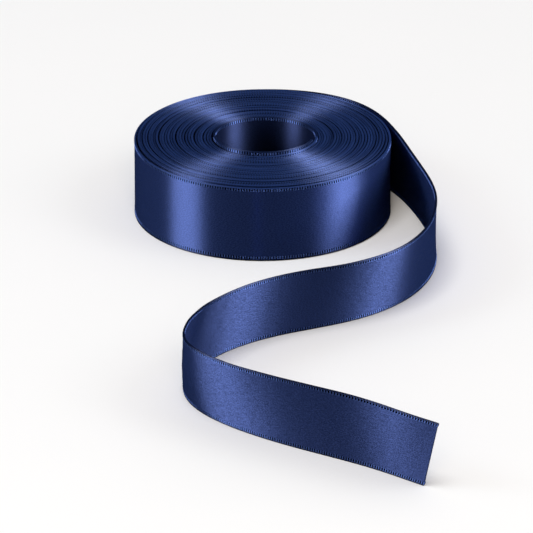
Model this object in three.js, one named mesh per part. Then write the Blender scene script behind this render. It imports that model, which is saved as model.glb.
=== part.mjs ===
// A roll of satin ribbon lying on its side face, with its loose end pulled off and
// standing on its edge in an S-shaped path. Millimetres, degrees, +Z up.
import * as THREE from "three";

// Driving dimensions of the ribbon and the roll.
const ribbonWidth = 25;
const turnThickness = 0.84;
const holeRadius = 15.1;
const grooveDepth = 1.6;
const stepClearance = 0.3;
const angleSteps = 60;

// The wound turns, from the hole outwards. Each row is one bundle of turns that lie tight
// together. gap is the mean width of the groove outside it, wide is the bearing where that
// groove is widest, right and back are how far the bundle's outer edge has slipped from the
// roll's axis, and rise and tip are how far its turns stand up at the middle and more at the front.
const bundles = [
  { turns: 1, gap: 0.55, wide: 260, right: 0.4, back: 1.1, rise: 0.6, tip: 0.6 },
  { turns: 4, gap: 0.3, wide: 170, right: 0.4, back: 0.9, rise: 0, tip: 0 },
  { turns: 2, gap: 0.3, wide: 290, right: 0.1, back: 0.8, rise: 0.2, tip: 0 },
  { turns: 4, gap: 0.3, wide: 250, right: -0.2, back: 0.8, rise: 0, tip: 0 },
  { turns: 3, gap: 0.35, wide: 240, right: -0.4, back: 0.8, rise: 0.2, tip: 0 },
  { turns: 4, gap: 0.3, wide: 60, right: -0.4, back: 0.8, rise: 0, tip: 0 },
  { turns: 4, gap: 0.3, wide: 80, right: -0.3, back: 0.7, rise: 0.15, tip: 0 },
  { turns: 3, gap: 0.3, wide: 110, right: -0.2, back: 0.5, rise: 0, tip: 0 },
  { turns: 2, gap: 0.4, wide: 200, right: -0.1, back: 0.2, rise: 0, tip: 0 },
  { turns: 1, gap: 0, wide: 0, right: 0, back: 0, rise: 0.2, tip: 0.2 },
];

// The loose end leaves the back of the roll heading right. Each row gives, at a distance along
// it, its heading clockwise from the right, seen from above, and how far its top edge leans to
// the left of that heading.
const looseLength = 349;
const looseThickness = 1;
const cutSlant = 7;
const cutReach = 40;
const pathStep = 1;
const stationStep = 4;
const course = [
  { at: 0, heading: 0, lean: 0 },
  { at: 30, heading: 38, lean: 2 },
  { at: 60, heading: 68, lean: -6 },
  { at: 90, heading: 79.5, lean: -7 },
  { at: 120, heading: 102, lean: 3 },
  { at: 150, heading: 132, lean: 16 },
  { at: 180, heading: 157, lean: 18 },
  { at: 200, heading: 143, lean: 17 },
  { at: 220, heading: 129, lean: 16 },
  { at: 240, heading: 95, lean: 11 },
  { at: 260, heading: 59.5, lean: -9 },
  { at: 280, heading: 41, lean: -14 },
  { at: 310, heading: 33.5, lean: -11 },
  { at: 360, heading: 39, lean: -11 },
];

// Where the roll's axis stands, so that the whole object is centred on the origin.
const rollAxis = { x: -6.93, y: 87.6 };

const radians = THREE.MathUtils.degToRad;
const smoothstep = THREE.MathUtils.smoothstep;
const lerp = THREE.MathUtils.lerp;

// A closed solid from a row of sections, each the same number of points. Where closed is true
// the last section joins the first, and otherwise both ends are capped.
function solidFromSections(sections, closed) {
  const count = sections[0].length;
  const rows = sections.length;
  const positions = sections.flat().flatMap((p) => [p.x, p.y, p.z]);
  const faces = [];
  for (let row = 0; row < (closed ? rows : rows - 1); row++) {
    const here = row * count;
    const next = ((row + 1) % rows) * count;
    for (let i = 0; i < count; i++) {
      const j = (i + 1) % count;
      faces.push(here + i, next + i, next + j, here + i, next + j, here + j);
    }
  }
  if (!closed) {
    const last = (rows - 1) * count;
    for (let i = 1; i < count - 1; i++) {
      faces.push(0, i, i + 1);
      faces.push(last, last + i + 1, last + i);
    }
  }
  const geometry = new THREE.BufferGeometry();
  geometry.setAttribute("position", new THREE.Float32BufferAttribute(positions, 3));
  geometry.setIndex(faces);
  geometry.computeVertexNormals();
  return geometry;
}

// The radius of the roll's outside at a bearing, clockwise from where the loose end leaves:
// the outer turn climbs by one turn on its way round.
const grooveTotal = bundles.reduce((sum, row) => sum + row.gap, 0);
const turnTotal = bundles.reduce((sum, row) => sum + row.turns, 0);
const rollRadius = holeRadius + turnTotal * turnThickness + grooveTotal;
function outsideRadius(bearing) {
  return rollRadius - turnThickness * (1 - bearing / 360);
}

// One radial section of the roll: across the top from the hole outwards, then back underneath.
function rollSection(bearing) {
  const top = [];
  const bottom = [];
  const east = Math.sin(radians(bearing));
  const north = Math.cos(radians(bearing));
  const place = (list, radius, height) =>
    list.push(new THREE.Vector3(radius * east, radius * north, height));
  let outer = holeRadius;
  let inner = holeRadius + bundles[0].right * east + bundles[0].back * north;
  bundles.forEach((row, index) => {
    const last = index === bundles.length - 1;
    const rise = row.rise - row.tip * north;
    outer += row.turns * turnThickness;
    const shifted = outer + row.right * east + row.back * north;
    const edge = last ? outsideRadius(bearing) : shifted;
    place(top, inner, ribbonWidth + rise);
    place(top, edge, ribbonWidth + rise);
    place(bottom, inner, rise);
    place(bottom, edge, rise);
    if (last) return;
    const gap = row.gap * (1 + 0.5 * Math.cos(radians(bearing - row.wide)));
    place(top, edge + gap / 2, ribbonWidth - grooveDepth);
    place(bottom, edge + gap / 2, grooveDepth);
    inner = edge + gap;
    outer += row.gap;
  });
  return top.concat(bottom.reverse());
}

// The roll runs clockwise from the step where the loose end leaves, all the way round to it.
function rollGeometry() {
  const seam = 0.5;
  const sections = [];
  for (let i = 0; i <= angleSteps; i++) {
    sections.push(rollSection(lerp(0, 360 - seam, i / angleSteps)));
  }
  return solidFromSections(sections, true);
}

// The slope of a column of the course at one of its rows.
function slopeAt(column, row) {
  const before = course[Math.max(row - 1, 0)];
  const after = course[Math.min(row + 1, course.length - 1)];
  return (after[column] - before[column]) / (after.at - before.at);
}

// The heading or the lean at a distance along the loose end, on a smooth curve through the rows.
function courseAt(column, along) {
  const found = course.findIndex((row) => row.at > along);
  const row = found < 0 ? course.length - 2 : found - 1;
  const a = course[row];
  const b = course[row + 1];
  const span = b.at - a.at;
  const t = (along - a.at) / span;
  const blend = t * t * (3 - 2 * t);
  return (
    lerp(a[column], b[column], blend) +
    span * t * (1 - t) * (slopeAt(column, row) * (1 - t) - slopeAt(column, row + 1) * t)
  );
}

// The path of the loose end's middle over the floor, one point each millimetre.
function loosePath(startRadius) {
  const points = [{ x: 0, y: startRadius }];
  for (let along = 0; along < looseLength + cutSlant; along += pathStep) {
    const heading = radians(courseAt("heading", along + pathStep / 2));
    const from = points[points.length - 1];
    points.push({
      x: from.x + pathStep * Math.cos(heading),
      y: from.y - pathStep * Math.sin(heading),
    });
  }
  return points;
}

// A point on one face of the loose end: side is -1 on the face that looks at the roll, 1 on the
// other. The top of the last stretch reaches further, because the end is cut on a slant.
function loosePoint(path, along, side, top) {
  const slant = top ? cutSlant * smoothstep(along, looseLength - cutReach, looseLength) : 0;
  const reach = along + slant;
  const index = Math.min(Math.floor(reach / pathStep), path.length - 2);
  const part = reach / pathStep - index;
  const heading = radians(courseAt("heading", reach));
  const lean = radians(courseAt("lean", reach));
  const half = looseThickness / 2 / Math.cos(lean);
  const away = side * half + (top ? ribbonWidth * Math.sin(lean) : 0);
  return new THREE.Vector3(
    lerp(path[index].x, path[index + 1].x, part) + away * Math.sin(heading),
    lerp(path[index].y, path[index + 1].y, part) + away * Math.cos(heading),
    top ? ribbonWidth * Math.cos(lean) : 0,
  );
}

function looseGeometry() {
  const path = loosePath(rollRadius);
  const sections = [];
  const start = stepClearance;
  const count = Math.round((looseLength - start) / stationStep);
  for (let i = 0; i <= count; i++) {
    const along = lerp(start, looseLength, i / count);
    sections.push([
      loosePoint(path, along, -1, false),
      loosePoint(path, along, -1, true),
      loosePoint(path, along, 1, true),
      loosePoint(path, along, 1, false),
    ]);
  }
  return solidFromSections(sections, false);
}

const satin = new THREE.MeshStandardMaterial({ color: 0x24396f, roughness: 0.38, metalness: 0 });

function piece(name, geometry) {
  const mesh = new THREE.Mesh(geometry, satin);
  mesh.name = name;
  mesh.position.set(rollAxis.x, rollAxis.y, 0);
  return mesh;
}

const ribbon = new THREE.Group();
ribbon.add(piece("ribbon_roll", rollGeometry()));
ribbon.add(piece("loose_end", looseGeometry()));

export default ribbon;
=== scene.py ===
# %% [markdown]
# # A roll of satin ribbon
#
# One long strip of navy satin is wound into a flat roll that lies on its side. Its loose end is
# pulled off the back of the roll and stands on its edge, in an S, down to a slanted cut. We build
# it around the fixed frame of plain solids, in metres, with +Z up.

# %% Load the frame
import math

import bpy
import numpy as np
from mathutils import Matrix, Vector


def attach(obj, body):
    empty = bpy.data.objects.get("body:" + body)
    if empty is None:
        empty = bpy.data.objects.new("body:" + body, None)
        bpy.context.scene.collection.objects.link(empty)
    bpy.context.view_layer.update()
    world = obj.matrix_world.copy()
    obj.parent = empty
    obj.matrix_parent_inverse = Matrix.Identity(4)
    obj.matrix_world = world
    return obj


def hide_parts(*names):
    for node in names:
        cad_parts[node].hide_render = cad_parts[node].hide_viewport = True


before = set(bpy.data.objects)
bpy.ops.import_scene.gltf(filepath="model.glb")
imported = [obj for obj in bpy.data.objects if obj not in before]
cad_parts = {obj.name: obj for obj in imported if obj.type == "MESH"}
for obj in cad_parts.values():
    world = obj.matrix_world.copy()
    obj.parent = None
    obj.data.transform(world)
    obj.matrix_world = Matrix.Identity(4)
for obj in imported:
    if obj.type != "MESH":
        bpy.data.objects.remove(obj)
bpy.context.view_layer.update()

print("solids:", sorted(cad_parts))

# %% [markdown]
# ## The sizes of the ribbon
#
# Everything follows from the ribbon itself: a 25 mm satin tape with a woven edge. The edge is a
# rounded rim, and beside it runs a narrow channel that an edge thread crosses every 0.85 mm. The
# rim at the bottom is spread a little wider. We work in millimetres, because a maker does, and
# turn the points into metres at the end.

# %% Sizes in millimetres
MM = 0.001
WIDTH = 25.0
RIM_THICKNESS = 0.74
CLOTH_THICKNESS = 0.56
CHANNEL_THICKNESS = 0.24
CHANNEL_START = 0.34
CHANNEL_END = 1.15
LOWER_RIM = 0.25        # how much wider the rim is at the bottom edge
PATH_STEP = 2.0

THREAD_PITCH = 0.85
THREAD_WIDTH = 0.42
THREAD_HEIGHT = 0.68
THREAD_ROUNDING = 0.05
THREAD_TUCK = 0.1       # how far a thread reaches into the rim and the cloth, in all
THREAD_LENGTH = CHANNEL_END - CHANNEL_START + THREAD_TUCK

ROLL_X, ROLL_Y = -6.93, 87.6
TURNS = 28
FIRST_TURN_RADIUS = 15.52
LAST_TURN_RADIUS = 41.30
INNER_END = 0.30        # turns: the cut inner end lies at the right of the hole, out of sight

print(TURNS, "turns from", FIRST_TURN_RADIUS, "to", LAST_TURN_RADIUS, "mm,",
      "with a rim of", RIM_THICKNESS, "mm")

# %% [markdown]
# ## How the turns lie
#
# A roll that is wound by hand isn't even. Most turns lie tight, but here and there a groove opens
# between two of them and closes again. One row of the first table is one groove: *after* counts
# the turns from the hole to where it is widest (28.0 is the back of the roll, a quarter turn more
# the right), and *over* is how much of a turn it takes to open, and again to close. The second
# table says how far the turns have slipped from the roll's axis, and how far they stand up, at the
# middle and at the front. On top of that each turn wanders a little from its place, out and up.

# %% The grooves, the slip and the wander
GROOVES = [
    dict(after=1.10, width=0.50, over=0.3),
    dict(after=2.60, width=0.16, over=1.0),
    dict(after=3.80, width=0.30, over=1.0),
    dict(after=6.70, width=0.34, over=1.0),
    dict(after=8.30, width=0.16, over=1.0),
    dict(after=9.80, width=0.30, over=1.0),
    dict(after=11.30, width=0.12, over=1.0),
    dict(after=12.75, width=0.40, over=1.0),
    dict(after=15.20, width=0.26, over=1.0),
    dict(after=16.70, width=0.18, over=1.0),
    dict(after=18.75, width=0.38, over=1.0),
    dict(after=20.20, width=0.14, over=1.0),
    dict(after=22.70, width=0.34, over=1.0),
    dict(after=24.65, width=0.24, over=1.0),
    dict(after=26.90, width=0.30, over=0.5),
]
SLIP = [
    dict(turn=0.0, right=0.4, back=1.1, rise=0.6, tip=0.6),
    dict(turn=1.1, right=0.4, back=1.0, rise=0.6, tip=0.6),
    dict(turn=1.6, right=0.4, back=1.0, rise=0.0, tip=0.0),
    dict(turn=6.0, right=0.1, back=0.8, rise=0.1, tip=0.0),
    dict(turn=9.0, right=-0.2, back=0.8, rise=0.0, tip=0.0),
    dict(turn=16.0, right=-0.4, back=0.8, rise=0.1, tip=0.0),
    dict(turn=20.0, right=-0.3, back=0.7, rise=0.0, tip=0.0),
    dict(turn=23.5, right=-0.2, back=0.5, rise=0.1, tip=0.0),
    dict(turn=26.0, right=-0.1, back=0.2, rise=0.1, tip=0.1),
    dict(turn=26.6, right=0.0, back=0.0, rise=0.3, tip=0.2),
    dict(turn=27.3, right=0.0, back=0.0, rise=0.0, tip=0.1),
    dict(turn=28.0, right=0.0, back=0.0, rise=0.0, tip=0.0),
]
# Size in millimetres, spacing in turns, and the seed of the random draws.
WANDER_OUT = dict(size=0.012, spacing=0.4, seed=11)
WANDER_UP = [
    dict(size=0.24, spacing=0.9, seed=5),
    dict(size=0.04, spacing=0.3, seed=8),
]
grooves_total = sum(row["width"] for row in GROOVES)
TURN_PITCH = (LAST_TURN_RADIUS - FIRST_TURN_RADIUS - grooves_total) / TURNS

print("grooves take", round(grooves_total, 2), "mm, so a tight turn takes", round(TURN_PITCH, 3), "mm")


# %% A smooth step and a slow wander
WANDER_DRAWS = 400      # more than the longest curve uses


def smooth_step(value, low, high):
    part = np.clip((value - low) / (high - low), 0, 1)
    return part * part * (3 - 2 * part)


def wander(value, spacing, seed):
    """A smooth random curve between -1 and 1, with a new value every spacing."""
    draws = np.random.default_rng(seed).uniform(-1, 1, WANDER_DRAWS)
    place = np.asarray(value) / spacing
    index = np.floor(place).astype(int)
    blend = smooth_step(place - index, 0, 1)
    return draws[index] * (1 - blend) + draws[index + 1] * blend


print("wander at three places:", np.round(wander([0.0, 5.5, 9.25], 1.0, 7), 3))

# %% [markdown]
# ## The line that the ribbon follows
#
# The strip is one sheet, so its middle line is one curve: a spiral that grows by one turn's pitch
# each time round, plus the grooves, and then the free course of the loose end. Numbers for whole
# arrays at once (NumPy) keep this short. Bearings run clockwise from the back of the roll.


# %% The wound part of the line
def wound_line():
    turn = [INNER_END]
    while turn[-1] < TURNS:
        around = 2 * math.pi * (FIRST_TURN_RADIUS + TURN_PITCH * turn[-1])
        turn.append(turn[-1] + PATH_STEP / around)
    turn = np.array(turn[:-1] + [TURNS])

    def slip(column):
        return np.interp(turn, [row["turn"] for row in SLIP], [row[column] for row in SLIP])

    bearing = 2 * np.pi * turn
    settled = smooth_step(TURNS - turn, 0, 1)
    out = WANDER_OUT["size"] * wander(turn, WANDER_OUT["spacing"], WANDER_OUT["seed"])
    radius = FIRST_TURN_RADIUS + TURN_PITCH * turn + out * settled
    for row in GROOVES:
        radius += row["width"] * smooth_step(turn, row["after"], row["after"] + row["over"])
    up = sum(row["size"] * (1 + wander(turn, row["spacing"], row["seed"])) for row in WANDER_UP)
    rise = slip("rise") - slip("tip") * np.cos(bearing) + up * settled
    x = radius * np.sin(bearing) + slip("right")
    y = radius * np.cos(bearing) + slip("back")
    return np.stack([x, y, rise + WIDTH / 2], axis=1)


wound = wound_line()
print("wound part:", len(wound), "points")

# %% [markdown]
# The loose end is given by a few stations: how far along, which way it heads (clockwise from the
# right, seen from above), and how far its top edge leans to the left. A cubic curve through the
# stations makes both smooth, and adding up short steps in those headings draws the line.

# %% The course of the loose end
LOOSE_LENGTH = 347.3
LOOSE_STEPS = 350
LEAVING_GAP = 0.40      # how far it has moved off the roll
LEAVING_REACH = 40.0    # once it is this far along
LEAN_LIFT = 0.25        # keeps the foot of a leaning ribbon above the floor
BEND_AT = 245.0
BEND_REACH = 24.0
BEND_BELLY = 1.3
CUT_SLANT = 8.7
CUT_REACH = 40.0
COURSE = [
    dict(at=0, heading=0, lean=0),
    dict(at=30, heading=38, lean=1.7),
    dict(at=60, heading=67.8, lean=-6.4),
    dict(at=90, heading=79.8, lean=-7.5),
    dict(at=120, heading=101.8, lean=2.7),
    dict(at=150, heading=132.2, lean=16.3),
    dict(at=170, heading=151.8, lean=18.9),
    dict(at=185, heading=154.9, lean=17.7),
    dict(at=200, heading=144.6, lean=17),
    dict(at=215, heading=130.1, lean=15.9),
    dict(at=230, heading=115.9, lean=13.5),
    dict(at=240, heading=94.1, lean=9.7),
    dict(at=250, heading=76.8, lean=0.5),
    dict(at=260, heading=59.4, lean=-10.5),
    dict(at=270, heading=47.9, lean=-13.3),
    dict(at=280, heading=40.8, lean=-13.6),
    dict(at=290, heading=36.5, lean=-12.6),
    dict(at=300, heading=33.0, lean=-11.8),
    dict(at=310, heading=32.0, lean=-11.2),
    dict(at=320, heading=32.8, lean=-10.6),
    dict(at=336, heading=39.3, lean=-10.9),
    dict(at=346, heading=38.8, lean=-10.7),
    dict(at=360, heading=37.0, lean=-10.4),
]


def through_stations(column, along):
    """A smooth curve through one column of the course, in radians."""
    at = np.array([row["at"] for row in COURSE], float)
    value = np.radians([row[column] for row in COURSE])
    number = np.arange(len(at))
    before = np.maximum(number - 1, 0)
    after = np.minimum(number + 1, len(at) - 1)
    slope = (value[after] - value[before]) / (at[after] - at[before])
    row = np.clip(np.searchsorted(at, along, side="right") - 1, 0, len(at) - 2)
    span = at[row + 1] - at[row]
    t = (along - at[row]) / span
    bend = span * t * (1 - t) * (slope[row] * (1 - t) - slope[row + 1] * t)
    return value[row] + (value[row + 1] - value[row]) * t * t * (3 - 2 * t) + bend


def loose_line():
    """The middle line of the loose end and its lean, with a point about every 2 mm."""
    along = np.linspace(0, LOOSE_LENGTH, LOOSE_STEPS + 1)
    step = along[1]
    heading = through_stations("heading", along[:-1] + step / 2)
    x = np.concatenate([[0], np.cumsum(np.cos(heading) * step)])
    y = np.concatenate([[0], -np.cumsum(np.sin(heading) * step)])
    lean = through_stations("lean", along)
    side = through_stations("heading", along)
    back = LAST_TURN_RADIUS + LEAVING_GAP * smooth_step(along, 0, LEAVING_REACH)
    away = WIDTH / 2 * np.sin(lean)
    height = WIDTH / 2 * np.cos(lean) + LEAN_LIFT * np.abs(np.sin(lean))
    points = np.stack([x + away * np.sin(side), back + y + away * np.cos(side), height], axis=1)
    return points[::2], lean[::2]


def belly(to_end):
    """How far the middle bows to the ribbon's left: below zero at the left-hand bend, for its right."""
    along = LOOSE_LENGTH - to_end
    before = smooth_step(along, BEND_AT - BEND_REACH, BEND_AT)
    beyond = smooth_step(-along, -BEND_AT - BEND_REACH, -BEND_AT)
    return -BEND_BELLY * before * beyond


loose, loose_lean = loose_line()
print("loose end:", len(loose), "points")

# %% [markdown]
# Geometry Nodes will need to know, at each point of the line, how far along it is, how far it is
# to the cut, which way the ribbon runs and which way is across it. A mesh made of edges alone can
# carry such named attributes, so the line is stored as one.


# %% The line as a mesh with attributes
def line_object(name, points, lean, to_end):
    """A line of edges in metres that knows its own direction, lean and distances."""
    mesh = bpy.data.meshes.new(name)
    edges = [(i, i + 1) for i in range(len(points) - 1)]
    mesh.from_pydata((points * MM).tolist(), edges, [])
    run = np.gradient(points, axis=0)
    run /= np.linalg.norm(run, axis=1)[:, None]
    level = np.stack([-run[:, 1], run[:, 0], 0 * run[:, 0]], axis=1)
    level /= np.linalg.norm(level, axis=1)[:, None]
    up = np.cross(run, level)
    across = up * np.cos(lean)[:, None] + level * np.sin(lean)[:, None]
    for label, kind, field, values in (
        ("lean", "FLOAT", "value", lean),
        ("to_end", "FLOAT", "value", to_end * MM),
        ("belly", "FLOAT", "value", belly(to_end) * MM),
        ("run", "FLOAT_VECTOR", "vector", run),
        ("across_way", "FLOAT_VECTOR", "vector", across),
    ):
        data = mesh.attributes.new(label, kind, "POINT").data
        data.foreach_set(field, np.ascontiguousarray(values, np.float32).ravel())
    line = bpy.data.objects.new(name, mesh)
    bpy.context.scene.collection.objects.link(line)
    return line


line_points = np.concatenate([wound[:-1], loose])
line_lean = np.concatenate([np.zeros(len(wound) - 1), loose_lean])
steps = np.linalg.norm(np.diff(line_points, axis=0), axis=1)
line_to_end = np.concatenate([np.cumsum(steps[::-1])[::-1], [0]])
TOTAL_LENGTH = float(line_to_end[0])
FIRST_TURN_LENGTH = 2 * math.pi * FIRST_TURN_RADIUS
LAST_TURN_LENGTH = 2 * math.pi * LAST_TURN_RADIUS
ribbon = line_object("satin_ribbon", line_points, line_lean, line_to_end)
print("the whole ribbon is", round(TOTAL_LENGTH / 1000, 3), "m long,", len(line_points), "points")

# %% [markdown]
# ## The ribbon's section
#
# Cut across, the ribbon is a thin band with a rounded rim at each edge and a channel beside the
# rim. The table gives half the thickness at a distance from the edge; mirrored twice it is the
# whole closed outline. The last two rows only let the middle bow. The outline is a mesh of edges
# too, and each point knows how far it is from the bottom edge, so that the finish can find the
# rim later.

# %% The section as a closed outline
RIM_ROUNDING = 0.2      # rows nearer to the edge than this are the same on both rims
EDGE_SHAPE = [
    dict(inset=0.02, half=0.27),
    dict(inset=0.07, half=0.34),
    dict(inset=0.16, half=RIM_THICKNESS / 2),
    dict(inset=0.30, half=0.33),
    dict(inset=CHANNEL_START, half=CHANNEL_THICKNESS / 2),
    dict(inset=CHANNEL_END, half=CHANNEL_THICKNESS / 2),
    dict(inset=CHANNEL_END + 0.08, half=CLOTH_THICKNESS / 2),
    dict(inset=4.5, half=CLOTH_THICKNESS / 2),
    dict(inset=9.5, half=CLOTH_THICKNESS / 2),
]
upper = [(row["half"], WIDTH - row["inset"]) for row in EDGE_SHAPE]
lower = [(row["half"], row["inset"] + (LOWER_RIM if row["inset"] > RIM_ROUNDING else 0))
         for row in reversed(EDGE_SHAPE)]
right_face = upper + lower
left_face = [(-x, z) for x, z in reversed(right_face)]
outline = [(0.0, WIDTH)] + right_face + [(0.0, 0.0)] + left_face

section_mesh = bpy.data.meshes.new("ribbon_section")
section_mesh.from_pydata([(x * MM, (WIDTH / 2 - z) * MM, 0) for x, z in outline],
                         [(i, (i + 1) % len(outline)) for i in range(len(outline))], [])
height = section_mesh.attributes.new("across", "FLOAT", "POINT")
height.data.foreach_set("value", [z * MM for x, z in outline])
section = bpy.data.objects.new("ribbon_section", section_mesh)
bpy.context.scene.collection.objects.link(section)
print("section:", len(outline), "points")


# %% [markdown]
# ## Nodes by script
#
# Node trees are easiest to read when one small function adds a node, sets its properties and
# links or fills its inputs. Sums, ranges and vectors come up so often that they get functions of
# their own, which give back the result and not the node. They serve geometry and materials alike.

# %% Adding a node
def add(tree, kind, settings=None, inputs=None):
    """Add a node, set its properties, and fill or link its inputs (by name or number)."""
    node = tree.nodes.new(kind)
    for name, value in (settings or {}).items():
        setattr(node, name, value)
    for key, value in (inputs or {}).items():
        if isinstance(value, bpy.types.NodeSocket):
            tree.links.new(value, node.inputs[key])
        else:
            node.inputs[key].default_value = value
    return node


def maths(tree, operation, *values):
    """The result of an operation on one, two or three numbers."""
    return add(tree, "ShaderNodeMath", {"operation": operation}, dict(enumerate(values))).outputs[0]


def ranged(tree, value, low, high, to_low=0.0, to_high=1.0, smooth=False):
    """The number between to_low and to_high that lies where the value does from low to high."""
    kind = "SMOOTHSTEP" if smooth else "LINEAR"
    return add(tree, "ShaderNodeMapRange", {"interpolation_type": kind},
               dict(enumerate((value, low, high, to_low, to_high)))).outputs[0]


def vector(tree, x=0.0, y=0.0, z=0.0):
    return add(tree, "ShaderNodeCombineXYZ", inputs={0: x, 1: y, 2: z}).outputs[0]


def scaled(tree, arrow, factor):
    return add(tree, "ShaderNodeVectorMath", {"operation": "SCALE"},
               {0: arrow, "Scale": factor}).outputs[0]


def named(tree, label, kind="FLOAT"):
    """The value of a named attribute."""
    return add(tree, "GeometryNodeInputNamedAttribute", {"data_type": kind}, {"Name": label}).outputs[0]


print("node functions:", [f.__name__ for f in (add, maths, ranged, vector, scaled, named)])


# %% Trees for geometry
def new_tree(name, sizes):
    """A Geometry Nodes tree with one named input for each size."""
    tree = bpy.data.node_groups.new(name, "GeometryNodeTree")
    tree.interface.new_socket("Geometry", in_out="INPUT", socket_type="NodeSocketGeometry")
    tree.interface.new_socket("Geometry", in_out="OUTPUT", socket_type="NodeSocketGeometry")
    for label, kind in sizes:
        tree.interface.new_socket(label, in_out="INPUT", socket_type=kind)
    return tree, tree.nodes.new("NodeGroupInput").outputs, tree.nodes.new("NodeGroupOutput").inputs


def run_nodes(thing, tree, values):
    """Run the tree on an object, with its inputs by name, and keep the result as a plain mesh."""
    modifier = thing.modifiers.new(tree.name, "NODES")
    modifier.node_group = tree
    sockets = {item.name: item.identifier for item in tree.interface.items_tree
               if item.in_out == "INPUT"}
    for label, value in values.items():
        modifier[sockets[label]] = value
    graph = bpy.context.evaluated_depsgraph_get()
    result = bpy.data.meshes.new_from_object(thing.evaluated_get(graph), depsgraph=graph)
    thing.modifiers.remove(modifier)
    thing.data = result
    result.name = thing.name


print("tree functions:", [f.__name__ for f in (new_tree, run_nodes)])

# %% [markdown]
# Two things still bend the plain strip. At the left-hand bend its middle bows out, and its end is
# cut on a slant: the top edge runs on a little further than the bottom edge. Both the cloth and
# its edge threads need this, so it is a small tree of its own. It pushes each point along the
# ribbon, the more the higher it sits and the nearer it is to the cut, and out by the bow: its
# share of the height times the rest of it, times four, is 1 in the middle and 0 at both edges.

# %% The bow and the slanted cut
slant, given, result = new_tree("Bow and Slanted Cut", [
    ("Slant", "NodeSocketFloat"), ("Reach", "NodeSocketFloat"), ("Width", "NodeSocketFloat")])
near = ranged(slant, named(slant, "to_end"), given["Reach"], 0.0, 0.0, given["Slant"], smooth=True)
share = maths(slant, "DIVIDE", named(slant, "across"), given["Width"])
run = named(slant, "run", "FLOAT_VECTOR")
shift = scaled(slant, run, maths(slant, "MULTIPLY", near, share))
arch = maths(slant, "MULTIPLY", share, maths(slant, "SUBTRACT", 1.0, share))
bow = maths(slant, "MULTIPLY", maths(slant, "MULTIPLY", arch, named(slant, "belly")), 4.0)
left = add(slant, "ShaderNodeVectorMath", {"operation": "CROSS_PRODUCT"},
           {0: named(slant, "across_way", "FLOAT_VECTOR"), 1: run})
both = add(slant, "ShaderNodeVectorMath", {"operation": "ADD"},
           {0: shift, 1: scaled(slant, left.outputs[0], bow)})
moved = add(slant, "GeometryNodeSetPosition",
            inputs={"Geometry": given["Geometry"], "Offset": both.outputs[0]})
slant.links.new(moved.outputs[0], result["Geometry"])
print("bow and slanted cut:", len(slant.nodes), "nodes")

# %% [markdown]
# ## The cloth
#
# The cloth could be modelled turn by turn, but its shape follows one rule: sweep the section
# along the line, turned upright and leant as the line says. So Geometry Nodes make it: edges to
# curve, normals upright, tilt by the lean, *Curve to Mesh*, and then the cut. A UV map in
# millimetres, along and across the ribbon, is stored for the weave.

# %% The tree that sweeps the cloth
sweep, given, result = new_tree("Swept Ribbon", [
    ("Section", "NodeSocketObject"), ("Slant", "NodeSocketFloat"), ("Reach", "NodeSocketFloat"),
    ("Width", "NodeSocketFloat"), ("Crease Angle", "NodeSocketFloat"),
    ("Material", "NodeSocketMaterial")])
curve = add(sweep, "GeometryNodeMeshToCurve", inputs={0: given["Geometry"]})
upright = add(sweep, "GeometryNodeSetCurveNormal", {"mode": "Z_UP"}, {0: curve.outputs[0]})
tilt = maths(sweep, "MULTIPLY", named(sweep, "lean"), -1.0)     # a curve tilts the other way round
leant = add(sweep, "GeometryNodeSetCurveTilt", inputs={0: upright.outputs[0], "Tilt": tilt})
shape = add(sweep, "GeometryNodeObjectInfo", inputs={"Object": given["Section"]})
profile = add(sweep, "GeometryNodeMeshToCurve", inputs={0: shape.outputs["Geometry"]})
cloth = add(sweep, "GeometryNodeCurveToMesh",
            inputs={0: leant.outputs[0], "Profile Curve": profile.outputs[0], "Fill Caps": True})
cut = add(sweep, "GeometryNodeGroup", {"node_tree": slant},
          {"Geometry": cloth.outputs[0], "Slant": given["Slant"], "Reach": given["Reach"],
           "Width": given["Width"]})
in_mm = scaled(sweep, vector(sweep, named(sweep, "to_end"), named(sweep, "across")), 1 / MM)
mapped = add(sweep, "GeometryNodeStoreNamedAttribute", {"data_type": "FLOAT2", "domain": "CORNER"},
             {"Geometry": cut.outputs[0], "Name": "ribbon_mm", "Value": in_mm})
smooth = add(sweep, "GeometryNodeSetShadeSmooth", {"domain": "FACE"},
             {"Geometry": mapped.outputs[0], "Shade Smooth": True})
fold = add(sweep, "GeometryNodeInputMeshEdgeAngle")
sharp = add(sweep, "FunctionNodeCompare", {"operation": "GREATER_THAN"},
            {0: fold.outputs["Unsigned Angle"], 1: given["Crease Angle"]})
creased = add(sweep, "GeometryNodeSetShadeSmooth", {"domain": "EDGE"},
              {"Geometry": smooth.outputs[0], "Selection": sharp.outputs[0], "Shade Smooth": False})
real = add(sweep, "GeometryNodeRealizeInstances", inputs={0: creased.outputs[0]})
dressed = add(sweep, "GeometryNodeSetMaterial",
              inputs={"Geometry": real.outputs[0], "Material": given["Material"]})
sweep.links.new(dressed.outputs[0], result["Geometry"])
print("sweep:", len(sweep.nodes), "nodes")

# %% [markdown]
# ## The edge threads
#
# Beside each rim, threads cross the channel one after another, with a small dark hole between two
# of them. They are the same short bar hundreds of times over, which is work for *Instance on
# Points*: the line is resampled at the pitch, and each point gets a pair of bars, one for each
# edge, turned to the ribbon's own direction. A bar is a rectangle with eased corners swept along
# a short line, because a flat top catches the light at the same place as the cloth beside it. They
# show on the loose end, on the outer turn and round the hole, so only those stretches get them.

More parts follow.
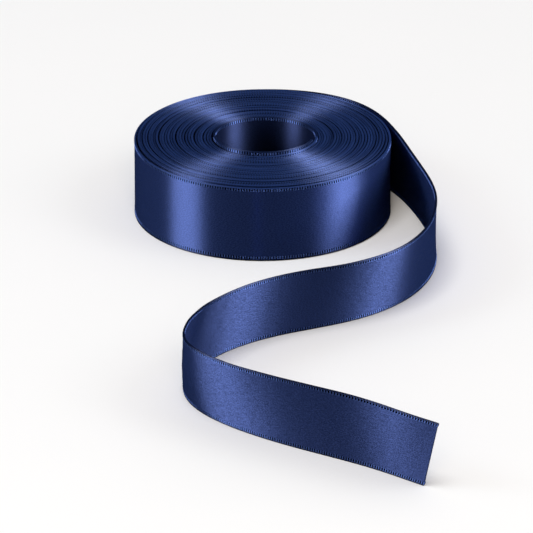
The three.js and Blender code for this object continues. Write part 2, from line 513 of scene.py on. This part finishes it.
# %% The tree that sets the threads
NARROWEST, WIDEST = (0.85, 0.94, 1.0), (1.15, 1.06, 1.0)    # along the ribbon, out of it, across
threads, given, result = new_tree("Edge Threads", [
    ("Pitch", "NodeSocketFloat"), ("Thread Width", "NodeSocketFloat"),
    ("Thread Length", "NodeSocketFloat"), ("Thread Height", "NodeSocketFloat"),
    ("Thread Rounding", "NodeSocketFloat"), ("Rail", "NodeSocketFloat"),
    ("Lower Rim", "NodeSocketFloat"), ("Slant", "NodeSocketFloat"), ("Reach", "NodeSocketFloat"),
    ("Width", "NodeSocketFloat"), ("Seed", "NodeSocketInt"), ("Material", "NodeSocketMaterial")])
curve = add(threads, "GeometryNodeMeshToCurve", inputs={0: given["Geometry"]})
even = add(threads, "GeometryNodeResampleCurve", {"mode": "LENGTH"},
           {"Curve": curve.outputs[0], "Length": given["Pitch"]})
points = add(threads, "GeometryNodeCurveToPoints", {"mode": "EVALUATED"}, {0: even.outputs[0]})
ring = add(threads, "GeometryNodeCurvePrimitiveQuadrilateral",
           inputs={"Width": given["Thread Width"], "Height": given["Thread Height"]})
eased = add(threads, "GeometryNodeFilletCurve", {"mode": "POLY"},
            {"Curve": ring.outputs[0], "Count": 1, "Radius": given["Thread Rounding"]})
spine = add(threads, "GeometryNodeCurvePrimitiveLine",
            inputs={"End": vector(threads, z=given["Thread Length"])})
bar = add(threads, "GeometryNodeCurveToMesh",
          inputs={0: spine.outputs[0], "Profile Curve": eased.outputs[0], "Fill Caps": True})
lower_rail = maths(threads, "ADD", maths(threads, "MULTIPLY", given["Rail"], -1.0), given["Lower Rim"])
pair = add(threads, "GeometryNodeJoinGeometry")
for rail in (given["Rail"], lower_rail):
    foot = maths(threads, "MULTIPLY_ADD", given["Thread Length"], -0.5, rail)
    stood = add(threads, "GeometryNodeTransform",
                inputs={0: bar.outputs["Mesh"], "Translation": vector(threads, z=foot)})
    threads.links.new(stood.outputs[0], pair.inputs[0])
here = add(threads, "GeometryNodeInputPosition")
split = add(threads, "ShaderNodeSeparateXYZ", inputs={0: here.outputs[0]})
level = maths(threads, "ADD", split.outputs["Z"], maths(threads, "DIVIDE", given["Width"], 2.0))
marked = add(threads, "GeometryNodeStoreNamedAttribute", {"data_type": "FLOAT", "domain": "POINT"},
             {"Geometry": pair.outputs[0], "Name": "across", "Value": level})
turned = add(threads, "FunctionNodeAxesToRotation", {"primary_axis": "X", "secondary_axis": "Z"},
             {"Primary Axis": named(threads, "run", "FLOAT_VECTOR"),
              "Secondary Axis": named(threads, "across_way", "FLOAT_VECTOR")})
uneven = add(threads, "FunctionNodeRandomValue", {"data_type": "FLOAT_VECTOR"},
             {0: NARROWEST, 1: WIDEST, "Seed": given["Seed"]})
sewn = add(threads, "GeometryNodeInstanceOnPoints",
           inputs={"Points": points.outputs["Points"], "Instance": marked.outputs[0],
                   "Rotation": turned.outputs[0], "Scale": uneven.outputs[0]})
real = add(threads, "GeometryNodeRealizeInstances", inputs={0: sewn.outputs[0]})
cut = add(threads, "GeometryNodeGroup", {"node_tree": slant},
          {"Geometry": real.outputs[0], "Slant": given["Slant"], "Reach": given["Reach"],
           "Width": given["Width"]})
flat = add(threads, "GeometryNodeSetShadeSmooth", {"domain": "FACE"},
           {"Geometry": cut.outputs[0], "Shade Smooth": False})
dressed = add(threads, "GeometryNodeSetMaterial",
              inputs={"Geometry": flat.outputs[0], "Material": given["Material"]})
threads.links.new(dressed.outputs[0], result["Geometry"])
print("edge threads:", len(threads.nodes), "nodes")

# %% [markdown]
# ## The finish of the cloth
#
# Polyester satin is woven with long floats of warp along the ribbon. They lie side by side like
# fine combed hair, so light spreads across them and hardly along them: the highlight is a soft
# band across the ribbon wherever it turns towards a light. An anisotropic gloss does that, with
# its direction taken from the UV map.
#
# The light comes back through dyed fibre, so most of the gloss is blue too. The shader colours a
# gloss only where it is metallic, so the cloth has a metallic value, though there is no metal in
# it. What is left of it is the white gloss of the fibres' own surface over a deep matt blue.

# %% Colours
def linear(hex_colour):
    """A sRGB hex colour as linear RGBA, which is what Blender's sockets hold."""
    channels = [int(hex_colour[i:i + 2], 16) / 255 for i in (1, 3, 5)]
    return tuple(c / 12.92 if c <= 0.04045 else ((c + 0.055) / 1.055) ** 2.4 for c in channels) + (1.0,)


# The cloth between its floats and on them, the rims of the wound turns, the threads with a painted sheen,
# and the painted shade of the holes between threads, the channels, the free rim, the foot and the hole.
NAVY_SATIN = linear("#24366B")
NAVY_SATIN_LIGHT = linear("#384C88")
NAVY_RIM = linear("#28407A")
NAVY_THREAD = linear("#3C5292")
NAVY_THREAD_PAINTED_SHEEN = linear("#536EB2")
HOLE_SHADE = linear("#060C22")
print("dyed satin in linear light:", [round(c, 4) for c in NAVY_SATIN[:3]])

# %% The numbers of the satin
# The weave, in millimetres, drawn coarser than it is so that it shows. Real floats lie 0.15 mm
# apart. Where they end they leave flecks on a slant, which is in radians.
FLOAT_LENGTH, FLOAT_SPACING = 3.0, 0.30
FLECK_LENGTH, FLECK_WIDTH, FLECK_SLANT = 0.55, 0.21, 0.5
WEAVE_RELIEF = 0.04

# The pits that are drawn between threads, painted dark as the shade in them: where one starts and
# ends, as a share of the pitch, and how much of it shows, at least, and on the rim.
PIT_START, PIT_END, PIT_SOFTNESS = 0.28, 0.72, 0.10
FAINTEST_PITS = 0.2
PITS_ON_RIM = 0.75

# A noise stays near the middle of its range, so a narrow part of it is spread over a whole one.
STRETCHES_SHOWN = (0.36, 0.56)
FLECKS_SHOWN = (0.32, 0.68)
WEAVE_SHOWN = (0.78, 1.22)      # the sum of two noises

# How much of the gloss is blue, how rough the cloth is, and how dark the painted shade is on the rims and
# in the hole.
BLUE_SHARE, BLUE_SHARE_IN_HOLE = 0.77, 0.85
LESS_BLUE_ON_RIM = 0.13
SMOOTHEST, ROUGHEST = 0.34, 0.48
MATT_ROUGHNESS = 0.24   # more, on the rims and in the hole
RIM_PAINTED_SHADE = 0.7
HOLE_PAINTED_SHADE = 0.58

# The stretches of the ribbon that have real threads, in millimetres.
INNER_STRETCH = 125.0   # a turn and a quarter, from the inner end
OUTER_STRETCH = LAST_TURN_LENGTH + LOOSE_LENGTH   # the outer turn and the loose end
print("threads are drawn on", round(TOTAL_LENGTH - INNER_STRETCH - OUTER_STRETCH), "mm of the ribbon")


# %% Parts of a material
def new_material(name):
    material = bpy.data.materials.new(name)
    material.use_nodes = True
    tree = material.node_tree
    tree.nodes.clear()
    return material, tree


def band(tree, value, low, high, soft):
    """1 where the value lies between low and high, 0 outside, with soft ends."""
    rises = ranged(tree, value, low - soft, low + soft, smooth=True)
    falls = ranged(tree, value, high - soft, high + soft, 1.0, 0.0, smooth=True)
    return maths(tree, "MULTIPLY", rises, falls)


def noise(tree, place, size, turn=0.0, **more):
    """Flat noise whose features have the given size, turned by an angle."""
    stretch = add(tree, "ShaderNodeMapping",
                  inputs={0: place, "Rotation": (0, 0, turn), "Scale": (1 / size[0], 1 / size[1], 1.0)})
    return add(tree, "ShaderNodeTexNoise", {"noise_dimensions": "2D"},
               {"Vector": stretch.outputs[0], "Scale": 1.0, "Detail": 1.0, **more}).outputs[0]


def mixed(tree, share, first, second):
    """A mix of two colours."""
    return add(tree, "ShaderNodeMix", {"data_type": "RGBA"}, {0: share, 6: first, 7: second}).outputs[2]


def drawn_pits(tree, along, inset):
    """Pits between threads as painted shade and a dent: fainter on the rim, clearer on some stretches
    than on others.
    """
    beat = maths(tree, "FRACT", maths(tree, "DIVIDE", along, THREAD_PITCH))
    gap = band(tree, beat, PIT_START, PIT_END, PIT_SOFTNESS)
    slow = add(tree, "ShaderNodeTexNoise", {"noise_dimensions": "1D"}, {"W": along, "Scale": 0.02})
    shown = ranged(tree, slow.outputs[0], *STRETCHES_SHOWN, FAINTEST_PITS, 1.0)
    depth = ranged(tree, inset, 0.05, RIM_ROUNDING, PITS_ON_RIM, 1.0)
    beside = maths(tree, "LESS_THAN", inset, CHANNEL_END)
    return maths(tree, "MULTIPLY", maths(tree, "MULTIPLY", gap, shown),
                 maths(tree, "MULTIPLY", depth, beside))


print("material functions:", [f.__name__ for f in (new_material, band, noise, mixed, drawn_pits)])


# %% The woven satin
def satin_material():
    material, tree = new_material("navy polyester satin, woven")
    uv = add(tree, "ShaderNodeUVMap", {"uv_map": "ribbon_mm"}).outputs[0]
    along, across = add(tree, "ShaderNodeSeparateXYZ", inputs={0: uv}).outputs[:2]
    inset = maths(tree, "MINIMUM", maths(tree, "SUBTRACT", across, LOWER_RIM),
                  maths(tree, "SUBTRACT", WIDTH, across))

    floats = noise(tree, uv, (FLOAT_LENGTH, FLOAT_SPACING), Roughness=0.6)
    flecks = noise(tree, uv, (FLECK_LENGTH, FLECK_WIDTH), FLECK_SLANT)
    weave = maths(tree, "ADD", floats, flecks)

    # Beside the rim the channel under the edge threads is painted dark: painted shade. The turns inside
    # the roll have no threads of their own: theirs are drawn as pits at the same pitch, painted dark too.
    channel = band(tree, inset, CHANNEL_START, CHANNEL_END, 0.04)
    pits = drawn_pits(tree, along, inset)
    inside = band(tree, along, OUTER_STRETCH, TOTAL_LENGTH - INNER_STRETCH, 0.5)
    dark = add(tree, "ShaderNodeMix", {"data_type": "FLOAT"}, {0: inside, 2: channel, 3: pits}).outputs[0]

    # The free rim of the loose end and the bottom rim all along the ribbon are painted darker, as
    # painted shade.
    rim = maths(tree, "LESS_THAN", inset, CHANNEL_START)
    free = maths(tree, "LESS_THAN", along, LOOSE_LENGTH)
    foot = maths(tree, "LESS_THAN", across, CHANNEL_START + LOWER_RIM)
    painted_rim_shade = maths(tree, "MULTIPLY", maths(tree, "MAXIMUM", free, foot), rim)
    shade = maths(tree, "MAXIMUM", dark, maths(tree, "MULTIPLY", painted_rim_shade, RIM_PAINTED_SHADE))

    # The innermost turn lies in the hole: its colour is painted darker as painted shade, and only the
    # dyed gloss is left on it. On the rims of the wound turns the threads turn every way, so there the
    # sheen gives way to a matt blue.
    deep = maths(tree, "GREATER_THAN", along, TOTAL_LENGTH - FIRST_TURN_LENGTH)
    wound_rim = maths(tree, "SUBTRACT", rim, painted_rim_shade)
    blue = ranged(tree, deep, 0.0, 1.0, BLUE_SHARE, BLUE_SHARE_IN_HOLE)
    blue = maths(tree, "MULTIPLY_ADD", wound_rim, -LESS_BLUE_ON_RIM, blue)
    matt = maths(tree, "MAXIMUM", wound_rim, deep)
    rough = ranged(tree, weave, *WEAVE_SHOWN, SMOOTHEST, ROUGHEST)

    dye_and_painted_shade = mixed(tree, ranged(tree, flecks, *FLECKS_SHOWN), NAVY_SATIN, NAVY_SATIN_LIGHT)
    dye_and_painted_shade = mixed(tree, wound_rim, dye_and_painted_shade, NAVY_RIM)
    # Painted shade: the channels, pits, free rim, foot and innermost turn are mixed towards the shade
    # colour.
    dye_and_painted_shade = mixed(tree, maths(tree, "MULTIPLY_ADD", deep, HOLE_PAINTED_SHADE, shade), dye_and_painted_shade, HOLE_SHADE)
    bump = add(tree, "ShaderNodeBump", inputs={
        "Strength": 0.5, "Distance": WEAVE_RELIEF * MM, "Height": maths(tree, "SUBTRACT", weave, pits)})
    tangent = add(tree, "ShaderNodeTangent", {"direction_type": "UV_MAP", "uv_map": "ribbon_mm"})
    shader = add(tree, "ShaderNodeBsdfPrincipled", inputs={
        "Base Color": dye_and_painted_shade, "Metallic": maths(tree, "MAXIMUM", blue, shade),
        "Roughness": maths(tree, "MULTIPLY_ADD", matt, MATT_ROUGHNESS, rough),
        "IOR": 1.5, "Specular IOR Level": 1.0, "Anisotropic": 1.0, "Anisotropic Rotation": 0.25,
        "Tangent": tangent.outputs[0], "Normal": bump.outputs[0]})
    add(tree, "ShaderNodeOutputMaterial", inputs={0: shader.outputs[0]})
    return material


satin = satin_material()
print("satin:", len(satin.node_tree.nodes), "nodes")

# %% [markdown]
# The edge threads are the same polyester, twisted, so they shine in points. Their colour is painted
# a little lighter than the cloth's and flecked lighter still, as painted sheen.

# %% The edge thread
THREAD_FLECK = 0.8      # millimetres


def thread_material():
    material, tree = new_material("navy polyester thread, twisted")
    run = add(tree, "ShaderNodeAttribute", {"attribute_type": "GEOMETRY", "attribute_name": "run"})
    spot = add(tree, "ShaderNodeTexCoord")
    fleck = add(tree, "ShaderNodeTexNoise",
                inputs={"Vector": spot.outputs["Object"], "Scale": 1 / (THREAD_FLECK * MM)})
    # Lighter flecks on a colour lighter than the cloth's: painted sheen.
    shader = add(tree, "ShaderNodeBsdfPrincipled", inputs={
        "Base Color": mixed(tree, fleck.outputs[0], NAVY_THREAD, NAVY_THREAD_PAINTED_SHEEN),
        "Metallic": 0.80, "Roughness": 0.52, "IOR": 1.5, "Specular IOR Level": 1.0,
        "Anisotropic": 1.0, "Anisotropic Rotation": 0.25, "Tangent": run.outputs["Vector"]})
    add(tree, "ShaderNodeOutputMaterial", inputs={0: shader.outputs[0]})
    return material


thread = thread_material()
print("thread:", len(thread.node_tree.nodes), "nodes")

# %% [markdown]
# ## Making the pieces
#
# The threads need the line as it is before the cloth replaces it, so they are made first, on the
# stretches that show. The middle of a thread runs along a rail, at the same distance from the
# ribbon's middle as the channel's.

# %% The threads on the stretches that show
MID_CHANNEL = (CHANNEL_START + CHANNEL_END) / 2
from_start = TOTAL_LENGTH - line_to_end
shows = [from_start < INNER_STRETCH, line_to_end < OUTER_STRETCH]
pieces = []
for label, chosen in zip(("inner_edge_threads", "outer_edge_threads"), shows):
    piece = line_object(label, line_points[chosen], line_lean[chosen], line_to_end[chosen])
    run_nodes(piece, threads, {
        "Pitch": THREAD_PITCH * MM, "Thread Width": THREAD_WIDTH * MM,
        "Thread Height": THREAD_HEIGHT * MM, "Thread Rounding": THREAD_ROUNDING * MM,
        "Thread Length": THREAD_LENGTH * MM, "Rail": (WIDTH / 2 - MID_CHANNEL) * MM,
        "Lower Rim": LOWER_RIM * MM, "Slant": CUT_SLANT * MM, "Reach": CUT_REACH * MM,
        "Width": WIDTH * MM, "Seed": 3, "Material": thread})
    pieces.append(piece)
    print(label, len(piece.data.polygons), "faces")

# %% The cloth
CREASE_ANGLE = math.radians(38)
run_nodes(ribbon, sweep, {
    "Section": section, "Slant": CUT_SLANT * MM, "Reach": CUT_REACH * MM, "Width": WIDTH * MM,
    "Crease Angle": CREASE_ANGLE, "Material": satin})
bpy.data.objects.remove(section)
pieces.append(ribbon)
ribbon_triangles = sum(len(face.vertices) - 2 for face in ribbon.data.polygons)
print("ribbon:", len(ribbon.data.vertices), "points,", ribbon_triangles, "triangles")

# %% Into place on the roll's axis
for piece in pieces:
    points = np.empty(len(piece.data.vertices) * 3, np.float32)
    piece.data.vertices.foreach_get("co", points)
    points = points.reshape(-1, 3) + np.array([ROLL_X * MM, ROLL_Y * MM, 0], np.float32)
    piece.data.vertices.foreach_set("co", points.ravel())
    piece.data.update()
    print(piece.name, "from", points.min(axis=0).round(4), "to", points.max(axis=0).round(4))

# %% [markdown]
# ## Telling the frame
#
# The ribbon is one sheet of cloth that stands in for both plain solids, and the threads go with it.

# %% Riding and replacing
for piece in pieces:
    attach(piece, "root")
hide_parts("ribbon_roll", "loose_end")
print("declared one sheet,", round(WIDTH), "mm by", round(TOTAL_LENGTH), "mm")

# %% [markdown]
# ## Floor, light and camera
#
# A pale paper floor, and two kinds of light. Soft boxes low on either side draw the bands on the
# satin: where the cloth faces halfway between a box and the camera it shines, and a weak wide glow
# softens the band on the right. Larger lights from above make an even ground with soft shadows.
# Each kind should do its own job only, so light linking lets the boxes reach just the cloth and
# the others just the floor. The white floor and the room would wash the gloss with grey, so
# neither is seen in it.

# %% The floor
HALF_FLOOR = 3.0
CLOUDS_PER_METRE = 12.0


def floor_material():
    material, tree = new_material("pale paper, matt")
    spot = add(tree, "ShaderNodeTexCoord")
    cloud = add(tree, "ShaderNodeTexNoise",
                inputs={"Vector": spot.outputs["Object"], "Scale": CLOUDS_PER_METRE})
    shader = add(tree, "ShaderNodeBsdfPrincipled", inputs={
        "Base Color": mixed(tree, cloud.outputs[0], linear("#F3F3F3"), linear("#F6F5F5")),
        "Roughness": 0.9, "Specular IOR Level": 0.1})
    add(tree, "ShaderNodeOutputMaterial", inputs={0: shader.outputs[0]})
    return material


floor_mesh = bpy.data.meshes.new("floor")
floor_mesh.from_pydata([(-HALF_FLOOR, -HALF_FLOOR, 0), (HALF_FLOOR, -HALF_FLOOR, 0),
                        (HALF_FLOOR, HALF_FLOOR, 0), (-HALF_FLOOR, HALF_FLOOR, 0)], [], [(0, 1, 2, 3)])
floor = bpy.data.objects.new("floor", floor_mesh)
floor.data.materials.append(floor_material())
bpy.context.scene.collection.objects.link(floor)
floor.visible_glossy = False
print("floor:", 2 * HALF_FLOOR, "m wide")


# %% Lights
def lit_only(name, things):
    """A collection of the things that one light may reach."""
    group = bpy.data.collections.new(name)
    for thing in things:
        group.objects.link(thing)
    return group


cloth_only = lit_only("lit_by_soft_boxes", pieces)
floor_only = lit_only("lit_from_above", [floor])
ROLL_MIDDLE = (-0.007, 0.037, 0.01)
LEFT_BOX, RIGHT_BOX = (-0.575, -0.110, 0.25), (0.575, -0.030, 0.36)
LIGHTS = [
    dict(name="left_soft_box", place=LEFT_BOX, target=ROLL_MIDDLE, wide=0.31, tall=0.30,
         watts=5.1, colour=(1, 1, 1), lights=cloth_only),
    dict(name="right_soft_box", place=RIGHT_BOX, target=ROLL_MIDDLE, wide=0.32, tall=0.42,
         watts=8.2, colour=(1, 1, 1), lights=cloth_only),
    dict(name="right_glow", place=RIGHT_BOX, target=ROLL_MIDDLE, wide=0.60, tall=0.42,
         watts=1.0, colour=(1, 1, 1), lights=cloth_only),
    dict(name="overhead", place=(-0.6, -1.6, 3.9), target=(0, 0, 0), wide=1.6, tall=1.6,
         watts=80.5, colour=(1, 1, 1), lights=floor_only),
    dict(name="front_fill", place=(0, -2.5, 1.6), target=(0, 0, 0), wide=1.2, tall=1.2,
         watts=22, colour=(1.0, 0.82, 0.58), lights=floor_only),
    dict(name="right_fill", place=(1.8, -0.6, 1.6), target=(0, 0, 0), wide=1.2, tall=1.2,
         watts=7.5, colour=(0.86, 0.94, 1.0), lights=floor_only),
    dict(name="left_fill", place=(-1.5, -0.4, 1.2), target=(0, 0, 0), wide=0.6, tall=0.6,
         watts=3.8, colour=(0.6, 0.8, 1.0), lights=floor_only),
]


def soft_light(row):
    """A rectangular light, aimed at its target, that reaches only what its row says."""
    light = bpy.data.lights.new(row["name"], "AREA")
    light.shape = "RECTANGLE"
    light.size = row["wide"]
    light.size_y = row["tall"]
    light.energy = row["watts"]
    light.color = row["colour"]
    lamp = bpy.data.objects.new(row["name"], light)
    lamp.location = row["place"]
    aim = Vector(row["target"]) - Vector(row["place"])
    lamp.rotation_euler = aim.to_track_quat("-Z", "Y").to_euler()
    bpy.context.scene.collection.objects.link(lamp)
    lamp.light_linking.receiver_collection = row["lights"]


for row in LIGHTS:
    soft_light(row)
print(len(LIGHTS), "lights")

# %% The room
# It is a little cooler than the lights, so that the shadows stay neutral.
ROOM_COLOUR = (0.97, 0.97, 0.99, 1)
ROOM_STRENGTH = 0.485
world = bpy.data.worlds.new("studio")
bpy.context.scene.world = world
world.use_nodes = True
world.cycles_visibility.glossy = False
background = world.node_tree.nodes["Background"]
background.inputs["Color"].default_value = ROOM_COLOUR
background.inputs["Strength"].default_value = ROOM_STRENGTH
print("room light:", ROOM_STRENGTH)

# %% The camera
CAMERA_PLACE = (-5.89, -2368.1, 1056.6)     # millimetres
CAMERA_DOWN = 23.67                         # degrees
CAMERA_LENS = 560.4
SENSOR_WIDTH = 36.0
camera_data = bpy.data.cameras.new("camera")
camera_data.lens = CAMERA_LENS
camera_data.sensor_width = SENSOR_WIDTH
camera_data.clip_end = 50.0
camera = bpy.data.objects.new("camera", camera_data)
camera.location = [v * MM for v in CAMERA_PLACE]
camera.rotation_euler = (math.radians(90 - CAMERA_DOWN), 0, 0)
bpy.context.scene.collection.objects.link(camera)
bpy.context.scene.camera = camera
bpy.context.scene.view_settings.view_transform = "Standard"
print("camera looks down by", CAMERA_DOWN, "degrees")
